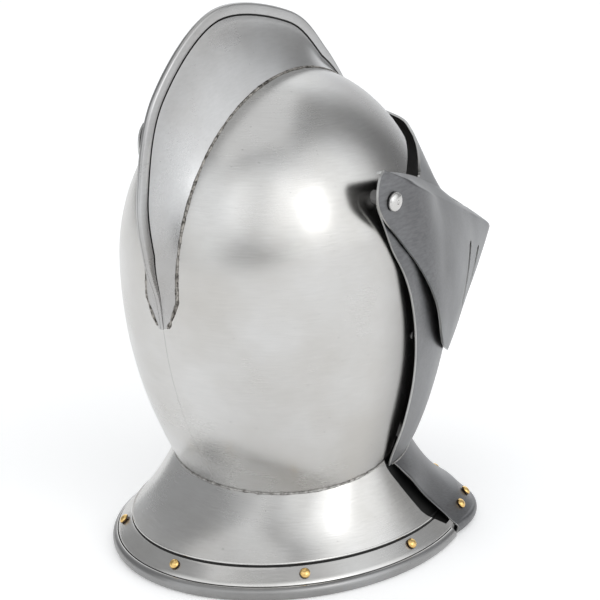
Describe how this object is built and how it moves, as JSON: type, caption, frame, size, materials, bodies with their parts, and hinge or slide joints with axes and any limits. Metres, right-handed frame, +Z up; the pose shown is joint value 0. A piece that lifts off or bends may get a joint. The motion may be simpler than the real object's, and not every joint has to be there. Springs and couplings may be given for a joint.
{
  "type": "knight helmet",
  "caption": "Close helmet in polished steel plate: combed skull, hinged bevor and pointed visor with sight slits, flared neck guard edged with brass rivets.",
  "frame": {"origin": "middle of the bounding box in plan, on the plane the rear neck guard rests on", "axes": "+Z up; the wearer faces -Y, so +X is the wearer's left"},
  "size_m": [0.2222, 0.344, 0.3653],
  "materials": {
    "steel_polished": "polished with fine brushing",
    "steel_satin": "satin, darker than the skull",
    "brass": "domed and polished",
    "leather": "waxed brown leather",
    "canvas": "undyed cotton canvas"
  },
  "bodies": {
    "skull": {"skull_right_half": "steel_polished", "skull_left_half": "steel_polished", "comb_right_plate": "steel_polished", "comb_left_plate": "steel_polished", "rear_gorget": "steel_polished", "rear_lining_band": "leather", "rear_rivet_1": "brass", "rear_rivet_2": "brass", "rear_rivet_3": "brass", "rear_rivet_4": "brass", "rear_rivet_5": "brass", "pivot_bolt_right": "steel_polished", "pivot_bolt_left": "steel_polished", "pivot_nut_right": "steel_satin", "pivot_nut_left": "steel_satin", "pivot_collar_right": "steel_satin", "pivot_collar_left": "steel_satin", "liner_headband": "leather", "crown_tongue_1": "canvas", "crown_tongue_2": "canvas", "crown_tongue_3": "canvas", "crown_tongue_4": "canvas", "crown_tongue_5": "canvas", "crown_tongue_6": "canvas", "crown_lace": "leather", "liner_clip_1": "steel_satin", "liner_clip_2": "steel_satin", "liner_clip_3": "steel_satin", "liner_clip_4": "steel_satin", "chin_strap_right": "leather", "chin_strap_left": "leather", "strap_rivet_right": "steel_satin", "strap_rivet_left": "steel_satin", "buckle_frame": "brass"},
    "bevor": {"bevor": "steel_satin", "front_gorget": "steel_satin", "front_lining_band": "leather", "front_rivet_1": "brass", "front_rivet_2": "brass", "front_rivet_3": "brass", "front_rivet_4": "brass", "front_rivet_5": "brass", "front_rivet_6": "brass", "friction_washer_right": "steel_satin", "friction_washer_left": "steel_satin"},
    "visor": {"visor": "steel_satin"},
    "buckle_prong": {"buckle_prong": "brass"}
  },
  "joints": [
    {"name": "bevor_hinge", "type": "hinge", "parent": "skull", "child": "bevor", "pos_m": [0, 0.05175, 0.2503], "axis": [-1, 0, 0], "range_deg": [0, 28]},
    {"name": "visor_hinge", "type": "hinge", "parent": "bevor", "child": "visor", "pos_m": [0, 0.05175, 0.2503], "axis": [-1, 0, 0], "range_deg": [0, 38]},
    {"name": "prong_hinge", "type": "hinge", "parent": "skull", "child": "buckle_prong", "pos_m": [-0.0115, 0.01725, 0.0743], "axis": [0, 1, 0], "range_deg": [0, 95]}
  ]
}
